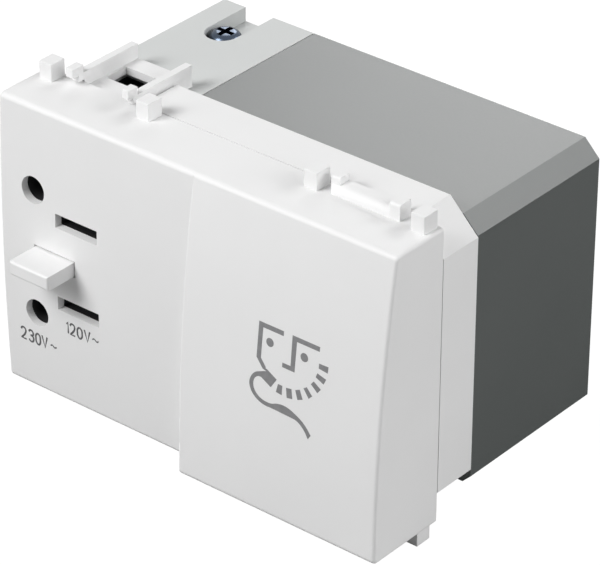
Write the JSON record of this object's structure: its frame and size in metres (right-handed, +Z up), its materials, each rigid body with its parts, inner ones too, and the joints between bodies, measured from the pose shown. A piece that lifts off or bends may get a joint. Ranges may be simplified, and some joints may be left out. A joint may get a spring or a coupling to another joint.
{
  "type": "shaver socket",
  "caption": "Three-module built-in shaver socket with isolating transformer: white front with round and flat pin holes, push tab and wedge, snap frame, grey terminal and transformer housings.",
  "frame": {"origin": "centre of the module on the seat plane, where the rear edge of the front cover meets the support frame", "axes": "+X right along the front, +Y back into the wall, +Z up; the front faces -Y"},
  "size_m": [0.0668, 0.0482, 0.0494],
  "materials": {
    "cover_white": "fine-grained satin moulding",
    "frame_white": "fine-grained satin moulding",
    "tab_white": "satin moulding",
    "housing_light_grey": "matte moulding",
    "housing_dark_grey": "matte moulding",
    "carrier_black": "matte moulding",
    "bobbin_plastic": "glass-filled moulding",
    "cutout_black": "moulded case",
    "tape_yellow": "polyester film",
    "clamp_brass": "nickel-free brass, milled",
    "contact_brass": "stamped strip",
    "bridge_brass": "stamped strip with contact rivets",
    "screw_steel": "zinc plated",
    "spring_steel": "drawn wire",
    "core_steel": "stacked electrical steel sheets",
    "winding_copper": "enamelled copper wire",
    "lead_brown": "soft insulation",
    "lead_blue": "soft insulation",
    "lead_white": "soft insulation"
  },
  "bodies": {
    "module": {"front_cover": "cover_white", "support_frame": "frame_white", "terminal_housing": "housing_light_grey", "transformer_housing": "housing_dark_grey", "terminal_clamp_upper": "clamp_brass", "terminal_clamp_lower": "clamp_brass", "terminal_screws": "screw_steel", "contact_carrier": "carrier_black", "round_pin_contact_lower": "contact_brass", "round_pin_contact_upper": "contact_brass", "blade_contact_lower": "contact_brass", "blade_contact_upper": "contact_brass", "fixed_contact_left": "contact_brass", "fixed_contact_right": "contact_brass", "return_spring": "spring_steel", "core_e_laminations": "core_steel", "core_i_laminations": "core_steel", "bobbin": "bobbin_plastic", "primary_winding": "winding_copper", "secondary_winding": "winding_copper", "primary_tape": "tape_yellow", "secondary_tape": "tape_yellow", "thermal_cutout": "cutout_black", "lead_live": "lead_brown", "lead_neutral": "lead_blue", "lead_switched": "lead_blue", "lead_protected": "lead_brown", "lead_round_pins": "lead_white", "lead_blade_tap": "lead_white", "lead_common": "lead_white", "lead_link": "lead_white"},
    "tab": {"push_tab": "tab_white", "bridge_contact": "bridge_brass"}
  },
  "joints": [
    {"name": "tab_press", "type": "slide", "parent": "module", "child": "tab", "axis": [0, 1, 0], "range_m": [0, 0.0051], "stiffness_N_per_m": 400, "springref_m": -0.003, "deforming": ["return_spring"]}
  ]
}
